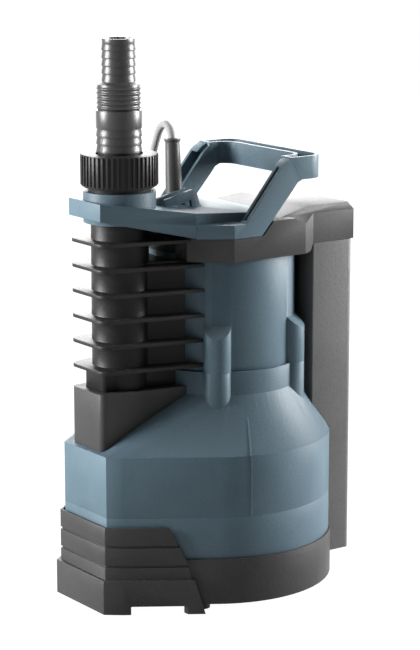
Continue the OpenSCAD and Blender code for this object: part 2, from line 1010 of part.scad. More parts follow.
// Side view of the handle plate, its top lowered by d
module plate_side(d = 0) {
  polygon([
    [nose_plate_x - 1, nose_low_z - 3 * d], [nose_plate_x - 1, nose_top_z - d],
    [wing_x0, foot_z + 19.3 - d], [plate_rear_x + 1, foot_z + 15 - d],
    [plate_rear_x + 1, cap_z1 + gap - 3 * d], [7, cap_z1 + gap - 3 * d],
    [-4, foot_z - 3 * d], [wing_x0, foot_z - 3 * d]
  ]);
}

module side_prism(hw) {
  rotate([90, 0, 0])
    translate([0, 0, -hw])
      linear_extrude(2 * hw)
        children();
}

// Side view of an arm; front_set moves its front edge back
function front_x(z) = arm_foot_x + arm_slope * (z - wing_z1);

module arm_side(front_set = 0) {
  z1 = grip_z1 - 2;
  zr = grip_z1 - 20;
  polygon([
    [arm_foot_x + front_set - 8, foot_z], [arm_foot_x + front_set - 8, wing_z1],
    [arm_foot_x + front_set, wing_z1], [front_x(z1 - 4) + front_set, z1 - 4],
    [front_x(z1 - 1) + front_set + 1.5, z1 - 1], [front_x(grip_z1) + front_set + 5, grip_z1],
    [42, grip_z1], [42, grip_z1 - grip_h], [front_x(zr) + arm_depth + 5, grip_z1 - grip_h],
    [front_x(zr) + arm_depth + 0.5, zr + 0.5], [front_x(zr - 5) + arm_depth, zr - 5],
    [front_x(foot_z) + arm_depth - 2.5, foot_z]
  ]);
}

// Grip seen from above, inset by d: a broad C that joins the arm tops
module grip_plan(d = 0) {
  r_out = 15;
  r_in = 11;
  turn_x = grip_back - r_out;
  turn_y = handle_hw - r_out;
  inner_x = grip_back - grip_depth - r_in;
  inner_y = handle_hw - arm_t - r_in;
  difference() {
    union() {
      translate([grip_start + d, d - handle_hw])
        square([turn_x - grip_start - d, 2 * (handle_hw - d)]);
      translate([turn_x - 1, -turn_y])
        square([r_out + 1 - d, 2 * turn_y]);
      for (s = [-1, 1])
        translate([turn_x, s * turn_y])
          circle(r = r_out - d);
    }
    translate([grip_start - 4, -inner_y - r_in - d])
      square([inner_x - grip_start + 4, 2 * (inner_y + r_in + d)]);
    translate([inner_x - 1, -inner_y])
      square([r_in + d + 1, 2 * inner_y]);
    for (s = [-1, 1])
      translate([inner_x, s * inner_y])
        circle(r = r_in + d);
  }
}

// One moulding: nose plate, collar, wings, arms, grip and rope lug
module handle() {
  y_in = handle_hw - arm_t;
  color(blue)
    at_motor()
      difference() {
        union() {
          difference() {
            intersection() {
              translate([0, 0, foot_z - 5])
                linear_extrude(60)
                  plate_plan();
              side_prism(100)
                plate_side();
            }
            intersection() {
              translate([0, 0, foot_z - 5])
                linear_extrude(60)
                  plate_plan(handle_wall);
              side_prism(100)
                plate_side(handle_wall);
            }
          }
          riser_ring(27.5, foot_z + 12, collar_z);
          both_sides() {
            translate([0, 0, foot_z])
              linear_extrude(wing_z1 - foot_z)
                polygon([
                  [wing_x0, wing_y0], [wing_x1, handle_hw], [arm_foot_x, handle_hw],
                  [arm_foot_x, y_in - 6], [wing_x0, y_in - 8]
                ]);
            intersection() {
              difference() {
                translate([0, handle_hw, 0])
                  rotate([90, 0, 0])
                    linear_extrude(arm_t)
                      arm_side();
                translate([0, y_in, 0])
                  rotate([90, 0, 0])
                    linear_extrude(2 * (handle_wall + 0.5), center = true)
                      difference() {
                        arm_side();
                        arm_side(4.6);
                      }
                translate([-7, handle_hw - handle_wall, wing_z1 + 1])
                  rotate([90, 0, 0])
                    linear_extrude(arm_t - 2 * handle_wall)
                      polygon([
                        [arm_foot_x, 0], [arm_foot_x + 17, 0],
                        [arm_foot_x + 17 + arm_slope * 39, 39], [arm_foot_x + arm_slope * 39, 39]
                      ]);
              }
              translate([-60, 0, foot_z])
                cube([200, 200, 100]);
            }
          }
          translate([0, 0, grip_z1 - grip_h])
            linear_extrude(grip_h)
              grip_plan();
          rope_lug();
          translate([relief_x, relief_y, foot_z + 8])
            cylinder(r = 10, h = relief_z - foot_z - 8);
        }
        riser_ring(spigot_r + run + 0.2, foot_z - 10, collar_z + 1);
        translate([relief_x, relief_y, foot_z - 3])
          cylinder(r = 6.5 + run, h = 40);
        translate([relief_x, relief_y, relief_z])
          cylinder(r = 9 + gap, h = 20);
        translate([0, 0, grip_z1 - grip_channel])
          linear_extrude(grip_channel + 1)
            grip_plan(handle_wall);
        for (s = [-1, 1])
          translate([screw_x, s * screw_y, foot_z - 1]) {
            cylinder(r = 2.1, h = 30);
            translate([0, 0, wing_z1 - foot_z - screw_head_h + 1])
              cylinder(r = 4.1, h = 10);
          }
      }
}

// Two ears with a window, parallel to the plate's long side
module rope_lug() {
  z0 = foot_z + 14;
  for (s = [-1, 1])
    translate([0, s * ear_y, 0])
      side_prism(1.5)
        difference() {
          polygon([
            [-56, z0], [-55, z0 + 11], [-30, z0 + 17], [-26, z0 + 14.5], [-23, z0 + 5], [-17, z0]
          ]);
          polygon([[-45, z0 - 1], [-43.4, z0 + 6], [-31.5, z0 + 9.2], [-29, z0 - 1]]);
        }
}

module handle_screws() {
  color(steel)
    at_motor()
      for (s = [-1, 1])
        translate([screw_x, s * screw_y, 0]) {
          translate([0, 0, wing_z1 - screw_head_h])
            cylinder(r = 3.8, h = screw_head_h);
          translate([0, 0, foot_z - 12])
            cylinder(r = 2, h = wing_z1 - screw_head_h - foot_z + 12.5);
        }
}

// Plan of the top cover over the motor and the float box, inset by d
module cover_plan(d = 0) {
  left = handle_hw - 24.9;
  side = handle_hw - d;
  lid = box_hw - d;
  polygon([
    [-55.6 + d, left - d], [wing_x1 + d * 0.4, side], [38 - d * 0.4, side], [box_front - d * 0.3, lid],
    [box_back - d, lid], [box_back - d, -lid], [box_front - d * 0.3, -lid], [38 - d * 0.4, -side],
    [wing_x1 + d * 0.4, -side], [-55.6 + d, d - left]
  ]);
}

// Side view of the top cover, lowered by d: step under the wings, cap, lid
module cover_side(d = 0) {
  polygon([
    [-70, z_cap - 1], [-70, foot_z - gap - d], [-2.6 + d * 0.4, foot_z - gap - d],
    [7.8 + d * 0.4, cap_z1 - d], [plate_rear_x + 2 + d * 0.1, cap_z1 - d],
    [box_front, cap_z1 + lid_crown - d], [box_back + 5, cap_z1 + lid_crown - d], [box_back + 5, lid_z],
    [box_front - d * 0.3, lid_z], [box_front - 6, z_cap - 1]
  ]);
}

// Front view of the lid end with its crowned top
module cover_front(d = 0) {
  hw = handle_hw + 1;
  polygon([
    [-hw, z_cap - 2], [-hw, cap_z1 - 6 - d], [8 - box_hw, cap_z1 + lid_crown - d],
    [box_hw - 8, cap_z1 + lid_crown - d], [hw, cap_z1 - 6 - d], [hw, z_cap - 2]
  ]);
}

// Side view of the cover in front of the lid; its top corner falls to the lid's edge
module cover_corner(d = 0) {
  polygon([
    [-80, z_cap - 2], [-80, cap_z1 + 1 - d], [corner_x, cap_z1 - d],
    [corner_x + 11, cap_z1 - 5.3 - d], [corner_x + 11, z_cap - 2]
  ]);
}

module cover_solid(d = 0) {
  intersection() {
    translate([0, 0, z_cap])
      linear_extrude(60)
        cover_plan(d);
    side_prism(100)
      cover_side(d);
    union() {
      translate([-80, 0, 0])
        rotate([90, 0, 90])
          linear_extrude(200)
            cover_front(d);
      side_prism(100)
        cover_corner(d);
    }
  }
}

// One moulding over the motor casing and the float box
module top_cover() {
  color(black)
    at_motor()
      difference() {
        union() {
          difference() {
            cover_solid();
            translate([0, 0, -eps])
              cover_solid(shell_t);
          }
          difference() {
            ring(motor_r, z_rim, foot_z - gap - eps, motor_in + 2);
            translate([-8, -80, z_rim - 1])
              cube([120, 160, 40]);
          }
          for (s = [-1, 1])
            translate([screw_x, s * screw_y, foot_z - 14])
              cylinder(r = 5, h = 14 - gap);
        }
        difference() {
          ring(motor_r + gap, z_cap - 1, z_rim);
          ring(1, 0, 1);
        }
        translate([riser_x, 0, z_cap - 1])
          cylinder(r = spigot_r + gap, h = 80);
        translate([relief_x, relief_y, z_cap])
          cylinder(r = 6.5 + run, h = 40);
        for (s = [-1, 1])
          translate([screw_x, s * screw_y, foot_z - 13])
            cylinder(r = 2 + run, h = 30);
      }
}

// Tall box behind the motor; its front clears the flange ring and the motor casing
module float_box() {
  color(grey)
    at_motor()
      difference() {
        box_block(0, box_z, lid_z, motor_clear_r);
        box_block(box_wall, box_z + box_wall, lid_z + 1, motor_clear_r + box_wall);
        for (y = [-36 : 12 : 36])
          translate([box_front + 8, y - 2, box_z - 1])
            cube([box_back - box_front - 16, 4, box_wall + 2]);
      }
}

module box_block(d, z0, z1, clear_r) {
  corner = 5;
  difference() {
    translate([0, 0, z0])
      linear_extrude(z1 - z0) {
        translate([box_front + d, d - box_hw])
          square([box_back - box_front - corner - d, 2 * (box_hw - d)]);
        translate([box_back - corner - 1, corner - box_hw])
          square([corner + 1 - d, 2 * (box_hw - corner)]);
        for (s = [-1, 1])
          translate([box_back - corner, s * (box_hw - corner)])
            circle(r = corner - d);
      }
    ring(clear_r, z_ring - 4 - d, lid_z + 5);
  }
}

module float_body() {
  color("orange")
    at_motor()
      difference() {
        translate([float_x, -float_hw, float_z])
          cube([float_t, 2 * float_hw, float_h]);
        translate([stem_x, 0, float_z - 1])
          cylinder(r = stem_r + 0.1, h = float_h + 2);
      }
}

module float_magnet() {
  z0 = float_z + float_h;
  color("dimgray")
    at_motor()
      translate([stem_x, 0, 0])
        ring(8, z0, z0 + 6, stem_r + 0.1);
}

// Stem with the sealed contacts, held at the floor and by the bracket
module float_stem() {
  color("ivory")
    at_motor()
      translate([stem_x, 0, 0])
        ring(stem_r, box_z + box_wall, lid_z - 6);
}

module stem_bracket() {
  z0 = lid_z - 12;
  color(black)
    at_motor()
      difference() {
        translate([float_x + 2, run - box_hw + box_wall, z0])
          cube([float_t - 2, 2 * (box_hw - box_wall - run), 4]);
        translate([stem_x, 0, z0 - 1])
          cylinder(r = stem_r + run, h = 6);
      }
}

module stem_clip() {
  color(steel)
    at_motor()
      translate([stem_x, 0, 0])
        ring(7, clip_z, clip_z + 2.5, stem_r + run);
}

// Threaded body and locknut under the cover
module cable_gland() {
  z0 = foot_z - gap - shell_t - 5.1;
  color("dimgray")
    at_motor()
      translate([relief_x, relief_y, 0]) {
        ring(6.5, z0, relief_z, cable_d / 2 + run);
        translate([0, 0, z0])
          difference() {
            cylinder(r = 10, h = 5, $fn = 6);
            translate([0, 0, -1])
              cylinder(r = 6, h = 8, $fn = 48);
          }
      }
}

// Tapered sleeve that leans towards the far side
module strain_relief() {
  flange_h = 2.2;
  color(grey)
    at_motor()
      translate([relief_x, relief_y, relief_z]) {
        ring(9, 0, 3, 3);
        rotate([0, 0, relief_turn])
          rotate([0, relief_lean, 0])
            translate([0, 0, 1.5])
              difference() {
                union() {
                  cylinder(r1 = 6.6, r2 = 5.4, h = sleeve_h);
                  translate([0, 0, sleeve_h - flange_h])
                    cylinder(r = 6.4, h = flange_h);
                }
                translate([0, 0, -3])
                  cylinder(r = cable_d / 2 + run, h = sleeve_h + 4);
              }
      }
}

module power_cable() {
  color(grey)
    tube(route, cable_d / 2, [1, 0, 0]);
}

module cable_coil() {
  color(grey)
    translate([coil_x, coil_y, 0])
      rotate_extrude()
        translate([coil_in_r, 0])
          square([coil_out_r - coil_in_r, coil_h]);
}

// Two straps round the coil
module coil_ties() {
  t = 1.2;
  w = 6;
  color("black")
    translate([coil_x, coil_y, 0])
      for (a = [80, 260])
        rotate([0, 0, a])
          difference() {
            translate([coil_in_r - t - gap, -w / 2, 0])
              cube([coil_out_r - coil_in_r + 2 * (t + gap), w, coil_h + t + 0.1]);
            translate([coil_in_r - gap, -w / 2 - 1, -1])
              cube([coil_out_r - coil_in_r + 2 * gap, w + 2, coil_h + 1.1]);
          }
}

module plug_lead() {
  color(grey)
    tube(lead_route, cable_d / 2, [1, 0, 0]);
}

// Turns a piece drawn along Z so that it points out of the plug's end of the lead
module at_plug() {
  translate([plug_x, plug_y, plug_r])
    rotate([0, 0, plug_turn])
      rotate([90, 0, 0])
        children();
}

// Round plug body lying on its side
module plug_body() {
  color(black)
    at_plug() {
      cylinder(r1 = 6, r2 = 8, h = 14);
      translate([0, 0, 14])
        cylinder(r1 = 12, r2 = plug_r, h = 8);
      translate([0, 0, 22])
        cylinder(r = plug_r, h = 18);
    }
}

module plug_pins() {
  color(steel)
    at_plug()
      for (s = [-1, 1])
        translate([s * 9.5, 0, 40])
          cylinder(r = 2.4, h = 19);
}

strainer_base();
nose_bumper();
base_screws();
suction_plate();
volute_body();
impeller();
impeller_nut();
seal_plate();
shaft_seal_seat();
shaft_seal_ring();
lip_seals();
oil_chamber();
lower_casing();
motor_shield();
motor_shaft();
rotor_core();
stator_core();
stator_windings();
bearing_outer_races();
bearing_inner_races();
bearing_balls();
casing_seal();
motor_casing();
casing_screws();
upper_shield();
capacitor();
terminal_block();
riser_cover();
riser_duct();
flap_hinge();
check_flap();
outlet_gasket();
union_nut();
hose_adapter();
handle();
handle_screws();
top_cover();
float_box();
float_body();
float_magnet();
float_stem();
stem_bracket();
stem_clip();
cable_gland();
strain_relief();
power_cable();
cable_coil();
coil_ties();
plug_lead();
plug_body();
plug_pins();
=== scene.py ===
"""Looks of the submersible drainage pump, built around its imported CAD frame."""

import json
import logging
import math
from collections.abc import Callable, Iterable, Sequence
from dataclasses import dataclass, field
from enum import Enum
from functools import cache
from typing import NamedTuple

import bpy
from mathutils import Matrix, Vector


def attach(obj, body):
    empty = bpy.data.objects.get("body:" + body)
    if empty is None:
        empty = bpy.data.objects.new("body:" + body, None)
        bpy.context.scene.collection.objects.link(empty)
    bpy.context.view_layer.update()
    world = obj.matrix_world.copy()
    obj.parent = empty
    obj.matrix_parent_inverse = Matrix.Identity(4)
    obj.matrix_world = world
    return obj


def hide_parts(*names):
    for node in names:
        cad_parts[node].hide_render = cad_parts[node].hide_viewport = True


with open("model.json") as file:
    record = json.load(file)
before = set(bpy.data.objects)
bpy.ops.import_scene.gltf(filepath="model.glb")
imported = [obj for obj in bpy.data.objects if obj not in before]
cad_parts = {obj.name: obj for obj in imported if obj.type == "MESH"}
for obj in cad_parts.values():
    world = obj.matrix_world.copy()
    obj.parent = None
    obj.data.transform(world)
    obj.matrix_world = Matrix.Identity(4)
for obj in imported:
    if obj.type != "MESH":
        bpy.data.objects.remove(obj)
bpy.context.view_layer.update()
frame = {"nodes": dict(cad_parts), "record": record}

LOG = logging.getLogger("drainage_pump")
Point = tuple[float, float, float]
Colour = tuple[float, float, float]
WHITE = (1.0, 1.0, 1.0, 1.0)
EDGE_ANGLE = 32.0  # smallest edge angle that is rounded, in degrees
SMOOTH_ANGLE = 38.0  # largest edge angle that is shaded smooth, in degrees
FLAT_ANGLE = 0.6  # faces within this angle count as one, in degrees
MERGE_DISTANCE = 2e-6
SPIN_MERGE_DISTANCE = 1e-6


# Camera, floor and lights


class Side(Enum):
    """Where a studio lamp stands, as azimuth and elevation seen from the pump, in degrees."""

    RIGHT = (-20.0, 14.0)
    LEFT = (152.0, 14.0)
    FRONT = (-120.0, 24.0)
    BACK = (55.0, 26.0)
    TOP = (-80.0, 82.0)


@dataclass
class PhotoCamera:
    """Camera that stands where the photograph was taken.

    Attributes:
        place: Camera position in metres.
        forward: Viewing direction.
        lens: Focal length in millimetres.
        sensor: Long side of the picture at the sensor, in millimetres.
        reach: How far the camera sees, in metres.
    """

    place: Point = (-1.01552, -1.44250, 0.58439)
    forward: Point = (0.56681, 0.79679, -0.20979)
    lens: float = 127.913
    sensor: float = 36.0
    reach: float = 60.0

    def build(self) -> bpy.types.Object:
        """Adds the camera and makes it the scene's own.

        Returns:
            The camera object.
        """
        data = bpy.data.cameras.new("photo_camera")
        data.lens = self.lens
        data.sensor_width = self.sensor
        data.sensor_fit = "AUTO"
        data.clip_end = self.reach
        camera = bpy.data.objects.new("photo_camera", data)
        bpy.context.collection.objects.link(camera)
        camera.location = self.place
        camera.rotation_euler = Vector(self.forward).to_track_quat("-Z", "Y").to_euler()
        bpy.context.scene.camera = camera
        return camera


@dataclass
class Studio:
    """Pale floor, white surroundings and five soft boxes.

    Attributes:
        target: Point that the lamps face.
        lamps: Power in watts, size and distance in metres for each side.
        floor_size: Edge length of the floor in metres.
        floor_gap: How far the floor lies under the pump's feet, in metres.
        floor_grey: Brightness of the floor for the light that it passes on.
        floor_glow: Strength of the floor's glow, which makes it white in the picture.
        glow_share: Share of the glow in what is seen of the floor; the rest shows the shadow.
        world_strength: Light that comes from all round.
    """

    target: Point = (0.0, 0.0, 0.2)
    lamps: dict[Side, tuple[float, float, float]] = field(
        default_factory=lambda: {
            Side.RIGHT: (140.0, 0.9, 2.0),
            Side.LEFT: (140.0, 0.9, 2.0),
            Side.FRONT: (1.2, 0.9, 2.2),
            Side.BACK: (94.0, 2.2, 2.6),
            Side.TOP: (12.0, 1.2, 1.8),
        }
    )
    floor_size: float = 40.0
    floor_gap: float = 0.0006
    floor_grey: float = 0.4
    floor_glow: float = 1.18
    glow_share: float = 0.85
    world_strength: float = 0.06

    def build(self) -> None:
        """Adds floor, world and lamps."""
        self._floor()
        self._world()
        for side, (power, size, distance) in self.lamps.items():
            self._lamp(side, power, size, distance)

    def _lamp(self, side: Side, power: float, size: float, distance: float) -> None:
        """Adds one square soft box that faces the pump.

        Args:
            side: Where it stands.
            power: Its power in watts.
            size: Its edge length in metres.
            distance: Its distance from the target in metres.
        """
        azimuth, elevation = (math.radians(v) for v in side.value)
        away = Vector(
            (
                math.cos(elevation) * math.cos(azimuth),
                math.cos(elevation) * math.sin(azimuth),
                math.sin(elevation),
            )
        )
        data = bpy.data.lights.new(f"soft_box_{side.name.lower()}", "AREA")
        data.shape = "SQUARE"
        data.size = size
        data.energy = power
        lamp = bpy.data.objects.new(data.name, data)
        bpy.context.collection.objects.link(lamp)
        lamp.location = Vector(self.target) + away * distance
        lamp.rotation_euler = (-away).to_track_quat("-Z", "Y").to_euler()

    def _floor(self) -> None:
        """Adds a wide floor that shows white to the camera and keeps the pump's shadow."""
        clear_selection()
        bpy.ops.mesh.primitive_plane_add(
            size=self.floor_size, location=(0.0, 0.0, -self.floor_gap)
        )
        floor = bpy.context.object
        floor.name = "studio_floor"
        material = bpy.data.materials.new("studio_floor")
        material.use_nodes = True
        tree = material.node_tree
        tree.nodes.clear()
        out = tree.nodes.new("ShaderNodeOutputMaterial")
        diffuse = tree.nodes.new("ShaderNodeBsdfDiffuse")
        diffuse.inputs["Color"].default_value = (*(self.floor_grey,) * 3, 1.0)
        glow = tree.nodes.new("ShaderNodeEmission")
        glow.inputs["Strength"].default_value = self.floor_glow
        share = math_node(tree, "MULTIPLY", seen_rays(tree), self.glow_share)
        mix = tree.nodes.new("ShaderNodeMixShader")
        tree.links.new(share, mix.inputs[0])
        tree.links.new(diffuse.outputs[0], mix.inputs[1])
        tree.links.new(glow.outputs[0], mix.inputs[2])
        tree.links.new(mix.outputs[0], out.inputs["Surface"])
        floor.data.materials.append(material)

    def _world(self) -> None:
        """Sets a world that is white to the eye and in reflections, and a dim light otherwise."""
        world = bpy.data.worlds.new("studio_world")
        bpy.context.scene.world = world
        world.use_nodes = True
        tree = world.node_tree
        tree.nodes.clear()
        out = tree.nodes.new("ShaderNodeOutputWorld")
        soft = tree.nodes.new("ShaderNodeBackground")
        soft.inputs["Strength"].default_value = self.world_strength
        soft.inputs["Color"].default_value = WHITE
        white = tree.nodes.new("ShaderNodeBackground")
        white.inputs["Color"].default_value = WHITE
        mix = tree.nodes.new("ShaderNodeMixShader")
        tree.links.new(seen_rays(tree), mix.inputs[0])
        tree.links.new(soft.outputs[0], mix.inputs[1])
        tree.links.new(white.outputs[0], mix.inputs[2])
        tree.links.new(mix.outputs[0], out.inputs["Surface"])


def math_node(
    tree: bpy.types.NodeTree,
    operation: str,
    *operands: bpy.types.NodeSocket | float,
    clamp: bool = False,
) -> bpy.types.NodeSocket:
    """Adds a Math node.

    Args:
        tree: Node tree that gets the node.
        operation: Blender's name of the operation.
        *operands: Two or three operands, each a socket or a number.
        clamp: Whether the result stays within 0 and 1.

    Returns:
        The node's output socket.
    """
    node = tree.nodes.new("ShaderNodeMath")
    node.operation = operation
    node.use_clamp = clamp
    for slot, value in enumerate(operands):
        if isinstance(value, bpy.types.NodeSocket):
            tree.links.new(value, node.inputs[slot])
        else:
            node.inputs[slot].default_value = value
    return node.outputs[0]


def seen_rays(tree: bpy.types.NodeTree) -> bpy.types.NodeSocket:
    """Adds a Light Path node and joins its camera, glossy and transmission rays.

    Args:
        tree: Node tree that gets the nodes.

    Returns:
        A socket that is 1 for those rays and 0 for the rest.
    """
    rays = tree.nodes.new("ShaderNodeLightPath").outputs
    glossy = math_node(tree, "ADD", rays["Is Camera Ray"], rays["Is Glossy Ray"], clamp=True)
    return math_node(tree, "ADD", glossy, rays["Is Transmission Ray"], clamp=True)


# Modelling by hand


def clear_selection() -> None:
    """Leaves edit mode and deselects everything."""
    if bpy.context.object and bpy.context.object.mode != "OBJECT":
        bpy.ops.object.mode_set(mode="OBJECT")
    bpy.ops.object.select_all(action="DESELECT")


def activate(piece: bpy.types.Object) -> None:
    """Makes one piece the only selected and the active one.

    Args:
        piece: The piece to work on.
    """
    clear_selection()
    piece.select_set(True)
    bpy.context.view_layer.objects.active = piece


def pick_faces(piece: bpy.types.Object, test: Callable[[Vector, Vector], bool]) -> None:
    """Selects faces of a piece by place and direction and enters edit mode.

    Args:
        piece: The piece to shape.
        test: Takes a face's centre and its normal.
    """
    activate(piece)
    bpy.ops.object.mode_set(mode="EDIT")
    bpy.ops.mesh.select_mode(type="FACE")
    bpy.ops.mesh.select_all(action="DESELECT")
    bpy.ops.object.mode_set(mode="OBJECT")
    for face in piece.data.polygons:
        face.select = test(face.center, face.normal)
    bpy.ops.object.mode_set(mode="EDIT")


def apply_modifier(piece: bpy.types.Object, kind: str, **settings: object) -> None:
    """Adds a modifier to a piece and applies it.

    Args:
        piece: The piece to finish.
        kind: Blender's name of the modifier type.
        **settings: The modifier's settings.
    """
    activate(piece)
    modifier = piece.modifiers.new(kind.lower(), kind)
    for name, value in settings.items():
        setattr(modifier, name, value)
    bpy.ops.object.modifier_apply(modifier=modifier.name)


def soften(
    piece: bpy.types.Object, width: float, segments: int = 2, angle: float = EDGE_ANGLE
) -> None:
    """Rounds the sharp edges of a piece and smooths its shading.

    Args:
        piece: The piece to finish.
        width: Width of the rounding in metres.
        segments: Number of faces across the rounding.
        angle: Smallest angle of an edge that is rounded, in degrees.
    """
    apply_modifier(
        piece,
        "BEVEL",
        width=width,
        segments=segments,
        limit_method="ANGLE",
        angle_limit=math.radians(angle),
        use_clamp_overlap=True,
        harden_normals=False,
        miter_outer="MITER_ARC",
    )
    bpy.ops.object.shade_smooth_by_angle(angle=math.radians(SMOOTH_ANGLE))


def merged_copy(node: str, name: str) -> bpy.types.Object:
    """Copies a CAD node's mesh into a piece of its own and joins its loose triangles.

    Args:
        node: Name of the CAD node.
        name: Name of the new piece.

    Returns:
        The new piece, with its flat regions as single faces.
    """
    piece = bpy.data.objects.new(name, frame["nodes"][node].data.copy())
    bpy.context.collection.objects.link(piece)
    piece.data.materials.clear()
    activate(piece)
    bpy.ops.object.mode_set(mode="EDIT")
    bpy.ops.mesh.select_all(action="SELECT")
    bpy.ops.mesh.remove_doubles(threshold=MERGE_DISTANCE)
    bpy.ops.mesh.dissolve_limited(angle_limit=math.radians(FLAT_ANGLE))
    bpy.ops.object.mode_set(mode="OBJECT")
    if piece.data.has_custom_normals:
        bpy.ops.mesh.customdata_custom_splitnormals_clear()
    return piece


def lathe(
    name: str, outline: Sequence[tuple[float, float]], steps: int
) -> bpy.types.Object:
    """Spins a closed outline of radius and height about the vertical axis.

    Args:
        name: Name of the new piece.
        outline: Corners as radius and height, in metres.
        steps: Number of faces round the axis.

    Returns:
        The new piece.
    """
    clear_selection()
    bpy.ops.mesh.primitive_circle_add(vertices=len(outline), radius=0.01, location=(0, 0, 0))
    piece = bpy.context.object
    piece.name = name
    for vertex, (radius, height) in zip(piece.data.vertices, outline):
        vertex.co = (radius, 0.0, height)
    activate(piece)
    bpy.ops.object.mode_set(mode="EDIT")
    bpy.ops.mesh.select_all(action="SELECT")
    bpy.ops.mesh.spin(
        steps=steps, angle=math.tau, center=(0.0, 0.0, 0.0), axis=(0.0, 0.0, 1.0)
    )
    bpy.ops.mesh.select_all(action="SELECT")
    bpy.ops.mesh.remove_doubles(threshold=SPIN_MERGE_DISTANCE)
    bpy.ops.mesh.normals_make_consistent(inside=False)
    bpy.ops.object.mode_set(mode="OBJECT")
    return piece


def hand_in(
    piece: bpy.types.Object, body: str, slot: str, finish: "Finish", *nodes: str
) -> bpy.types.Object:
    """Dresses a finished piece, sets it on its body and lets it stand for CAD nodes.

    Args:
        piece: The finished piece.
        body: The CAD body that carries it.
        slot: The record's material slot; not used.
        finish: Its finish.
        *nodes: The CAD nodes that it stands for.

    Returns:
        The same piece.
    """
    piece.data.materials.clear()
    piece.data.materials.append(finish.material())
    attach(piece, body)
    if nodes:
        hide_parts(*nodes)
    faces = len(piece.data.polygons) if piece.type == "MESH" else 0
    LOG.info("%s: %d faces on %s", piece.name, faces, body)
    return piece


# Finishes


def new_group(name: str, inputs: Iterable[str], outputs: Iterable[str]) -> bpy.types.NodeTree:
    """Adds a shader node group with named sockets for single values.

    Args:
        name: Name of the group.
        inputs: Name of each input.
        outputs: Name of each output.

    Returns:
        The group's node tree.
    """
    group = bpy.data.node_groups.new(name, "ShaderNodeTree")
    for side, labels in (("INPUT", inputs), ("OUTPUT", outputs)):
        for label in labels:
            group.interface.new_socket(label, in_out=side, socket_type="NodeSocketFloat")
    group.nodes.new("NodeGroupInput")
    group.nodes.new("NodeGroupOutput")
    return group


def noise(
    tree: bpy.types.NodeTree,
    vector: bpy.types.NodeSocket,
    scale: bpy.types.NodeSocket | float,
    detail: float,
    roughness: float = 0.55,
) -> bpy.types.NodeSocket:
    """Adds a noise texture and returns its value.

    Args:
        tree: Node tree that gets the texture.
        vector: Coordinates to read.
        scale: Scale as a socket or a number.
        detail: Number of finer layers.
        roughness: Strength of the finer layers.

    Returns:
        The texture's value socket.
    """
    node = tree.nodes.new("ShaderNodeTexNoise")
    node.inputs["Detail"].default_value = detail
    node.inputs["Roughness"].default_value = roughness
    tree.links.new(vector, node.inputs["Vector"])
    if isinstance(scale, bpy.types.NodeSocket):
        tree.links.new(scale, node.inputs["Scale"])
    else:
        node.inputs["Scale"].default_value = scale
    return node.outputs[0]


def map_range(
    tree: bpy.types.NodeTree, value: bpy.types.NodeSocket, span: tuple[float, float, float, float]
) -> bpy.types.NodeSocket:
    """Maps a value from one range to another, clamped.

    Args:
        tree: Node tree that gets the node.
        value: Value to map.
        span: Lowest and highest input, then lowest and highest output.

    Returns:
        The mapped value's socket.
    """
    node = tree.nodes.new("ShaderNodeMapRange")
    tree.links.new(value, node.inputs["Value"])
    for label, number in zip(("From Min", "From Max", "To Min", "To Max"), span):
        node.inputs[label].default_value = number
    return node.outputs[0]


@cache
def grain_group() -> bpy.types.NodeTree:
    """Spark-eroded mould grain: a fine height and a speckle mask, built once for all finishes.

    Returns:
        The group, with the inputs Scale and Coarseness and the outputs Height and Speckle.
    """
    tree = new_group("mould_grain", ("Scale", "Coarseness"), ("Height", "Speckle"))
    source, target = tree.nodes["Group Input"].outputs, tree.nodes["Group Output"].inputs
    place = tree.nodes.new("ShaderNodeTexCoord").outputs["Object"]
    fine = noise(tree, place, source["Scale"], 4.0, 0.65)
    cells = tree.nodes.new("ShaderNodeTexVoronoi")
    tree.links.new(place, cells.inputs["Vector"])
    tree.links.new(math_node(tree, "MULTIPLY", source["Scale"], 0.31), cells.inputs["Scale"])
    pits = math_node(tree, "MULTIPLY", cells.outputs["Distance"], source["Coarseness"])
    tree.links.new(math_node(tree, "ADD", fine, pits), target["Height"])
    tree.links.new(map_range(tree, fine, (0.35, 0.65, 0.0, 1.0)), target["Speckle"])
    return tree


@cache
def marks_and_edge_highlight_group() -> bpy.types.NodeTree:
    """Cloudy variation, lighter edges and settled dust as three masks, built once for all
    finishes. The lighter edges are partly rubbed wear and partly a painted highlight.

    Returns:
        The group, with the input Scale and the outputs Cloud, Edge and Dust.
    """
    tree = new_group("marks_and_edge_highlight", ("Scale",), ("Cloud", "Edge", "Dust"))
    source, target = tree.nodes["Group Input"].outputs, tree.nodes["Group Output"].inputs
    place = tree.nodes.new("ShaderNodeTexCoord").outputs["Object"]
    cloud = noise(tree, place, source["Scale"], 5.0, 0.6)
    tree.links.new(map_range(tree, cloud, (0.3, 0.7, 0.0, 1.0)), target["Cloud"])
    geometry = tree.nodes.new("ShaderNodeNewGeometry")
    # Convex edges are lightened here: partly rubbed wear, partly a painted highlight.
    edge = map_range(tree, geometry.outputs["Pointiness"], (0.51, 0.56, 0.0, 1.0))
    patches = map_range(tree, cloud, (0.35, 0.6, 0.35, 1.0))
    tree.links.new(math_node(tree, "MULTIPLY", edge, patches), target["Edge"])
    split = tree.nodes.new("ShaderNodeSeparateXYZ")
    tree.links.new(geometry.outputs["Normal"], split.inputs[0])
    up = map_range(tree, split.outputs["Z"], (0.75, 1.0, 0.0, 1.0))
    specks = map_range(tree, noise(tree, place, 420.0, 2.0), (0.56, 0.72, 0.0, 1.0))
    tree.links.new(math_node(tree, "MULTIPLY", up, specks), target["Dust"])
    return tree


def place_group(
    tree: bpy.types.NodeTree, group: bpy.types.NodeTree, **values: float
) -> bpy.types.NodeOutputs:
    """Places a node group in a material.

    Args:
        tree: The material's node tree.
        group: The group to place.
        **values: Input values by name.

    Returns:
        The outputs of the group's node.
    """
    node = tree.nodes.new("ShaderNodeGroup")
    node.node_tree = group
    for label, number in values.items():
        node.inputs[label].default_value = number
    return node.outputs


